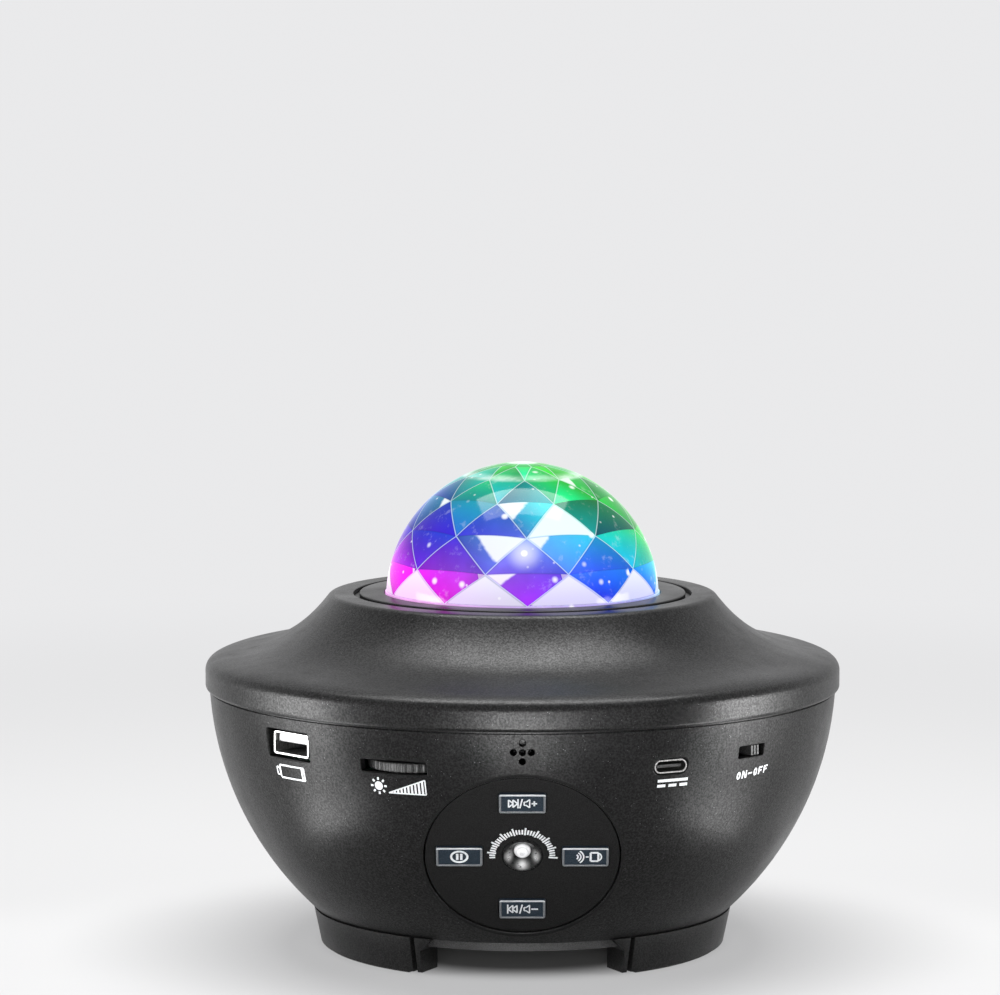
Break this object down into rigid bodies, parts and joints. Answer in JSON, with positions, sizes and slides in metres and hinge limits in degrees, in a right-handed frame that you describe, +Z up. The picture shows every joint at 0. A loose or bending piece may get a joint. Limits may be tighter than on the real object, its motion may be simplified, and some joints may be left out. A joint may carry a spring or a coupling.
{
  "type": "star night light projector",
  "caption": "Black bowl-shaped night light with a flared cover, faceted clear dome, front button panel, dimmer wheel, slide switch and speaker base.",
  "frame": {"origin": "middle of the circle that the rubber pads stand on, in the resting plane", "axes": "+Z up through the dome, -Y out of the front where the control panel is, +X to the viewer's right"},
  "size_m": [0.165, 0.165, 0.1251],
  "materials": {
    "bowl_black": "fine satin moulding texture",
    "cover_black": "fine satin moulding texture",
    "ring_black": "satin",
    "dome_clear": "clear faceted plastic",
    "base_black": "fine texture",
    "foot_black": "satin",
    "pad_rubber": "matte rubber",
    "screw_steel": "zinc plated",
    "panel_black": "fine grained matte",
    "button_grey": "dark grey with a bright bevelled rim",
    "plunger_white": "moulded",
    "switch_black": "moulded",
    "board_green": "solder mask",
    "cup_chrome": "bright plated",
    "window_clear": "clear lens",
    "chip_black": "moulded",
    "socket_steel": "nickel plated",
    "insulator_white": "moulded",
    "insulator_black": "moulded",
    "wheel_black": "ridged edge",
    "knob_black": "moulded",
    "aluminium_bare": "turned",
    "led_white": "white solder mask",
    "led_lens": "clear encapsulant",
    "disc_clear": "clear rippled plastic",
    "pinion_white": "acetal",
    "brass_tube": "turned",
    "grating_green": "film in a moulded wheel",
    "basket_steel": "black painted",
    "magnet_grey": "sintered",
    "cone_paper": "pressed paper",
    "surround_rubber": "soft roll"
  },
  "bodies": {
    "housing": {"bowl_housing": "bowl_black", "top_cover": "cover_black", "lens_ring": "ring_black", "dome_lens": "dome_clear", "base_plate": "base_black", "foot_left": "foot_black", "foot_right": "foot_black", "rubber_pads": "pad_rubber", "base_screws": "screw_steel", "control_panel": "panel_black", "switch_bodies": "switch_black", "button_board": "board_green", "button_board_screws": "screw_steel", "ir_reflector": "cup_chrome", "ir_window": "window_clear", "ir_receiver": "chip_black", "main_board": "board_green", "board_chips": "chip_black", "board_screws": "screw_steel", "usb_a_shell": "socket_steel", "usb_a_insulator": "insulator_white", "usb_c_shell": "socket_steel", "usb_c_insulator": "insulator_black", "dimmer_pot": "switch_black", "slide_switch": "socket_steel", "microphone": "socket_steel", "bridge_plate": "base_black", "bridge_screws": "screw_steel", "heat_sink": "aluminium_bare", "led_board": "led_white", "colour_leds": "led_lens", "disc_spindle": "screw_steel", "gear_motor": "aluminium_bare", "motor_screws": "screw_steel", "star_pin": "screw_steel", "laser_tube": "brass_tube", "laser_lens": "grating_green", "speaker_basket": "basket_steel", "speaker_magnet": "magnet_grey", "speaker_surround": "surround_rubber", "speaker_gasket": "pad_rubber"},
    "up_button": {"button_up": "button_grey", "plunger_up": "plunger_white"},
    "down_button": {"button_down": "button_grey", "plunger_down": "plunger_white"},
    "left_button": {"button_left": "button_grey", "plunger_left": "plunger_white"},
    "right_button": {"button_right": "button_grey", "plunger_right": "plunger_white"},
    "dimmer": {"dimmer_wheel": "wheel_black"},
    "power_slider": {"slide_knob": "knob_black"},
    "wave_disc": {"ripple_disc": "disc_clear"},
    "drive_pinion": {"motor_pinion": "pinion_white"},
    "star_grating": {"star_wheel": "grating_green"},
    "sound_cone": {"speaker_cone": "cone_paper"}
  },
  "joints": [
    {"name": "up_press", "type": "slide", "parent": "housing", "child": "up_button", "axis": [0, 0.8828, 0.4697], "range_m": [0, 0.00035], "stiffness_N_per_m": 4500},
    {"name": "down_press", "type": "slide", "parent": "housing", "child": "down_button", "axis": [0, 0.8828, 0.4697], "range_m": [0, 0.00035], "stiffness_N_per_m": 4500},
    {"name": "left_press", "type": "slide", "parent": "housing", "child": "left_button", "axis": [0, 0.8828, 0.4697], "range_m": [0, 0.00035], "stiffness_N_per_m": 4500},
    {"name": "right_press", "type": "slide", "parent": "housing", "child": "right_button", "axis": [0, 0.8828, 0.4697], "range_m": [0, 0.00035], "stiffness_N_per_m": 4500},
    {"name": "dimmer_turn", "type": "hinge", "parent": "housing", "child": "dimmer", "pos_m": [-0.02573, -0.06369, 0.0574], "axis": [0, 0, 1], "range_deg": [-135, 135]},
    {"name": "power_slide", "type": "slide", "parent": "housing", "child": "power_slider", "axis": [-0.7071, -0.7071, 0], "range_m": [0, 0.0036]},
    {"name": "disc_spin", "type": "hinge", "parent": "housing", "child": "wave_disc", "pos_m": [0, 0, 0.0826], "axis": [0, 0, 1], "continuous": true},
    {"name": "pinion_spin", "type": "hinge", "parent": "housing", "child": "drive_pinion", "pos_m": [-0.02368, -0.00862, 0.0826], "axis": [0, 0, 1], "continuous": true},
    {"name": "star_spin", "type": "hinge", "parent": "housing", "child": "star_grating", "pos_m": [0.0265, 0.00965, 0.0826], "axis": [0, 0, 1], "continuous": true},
    {"name": "cone_stroke", "type": "slide", "parent": "housing", "child": "sound_cone", "axis": [0, 0, 1], "range_m": [-0.0006, 0.0006], "stiffness_N_per_m": 900, "deforming": ["speaker_surround"]}
  ],
  "couplings": [
    {"joint": "pinion_spin", "follows": "disc_spin", "ratio": -5},
    {"joint": "star_spin", "follows": "disc_spin", "ratio": -2.9167}
  ]
}
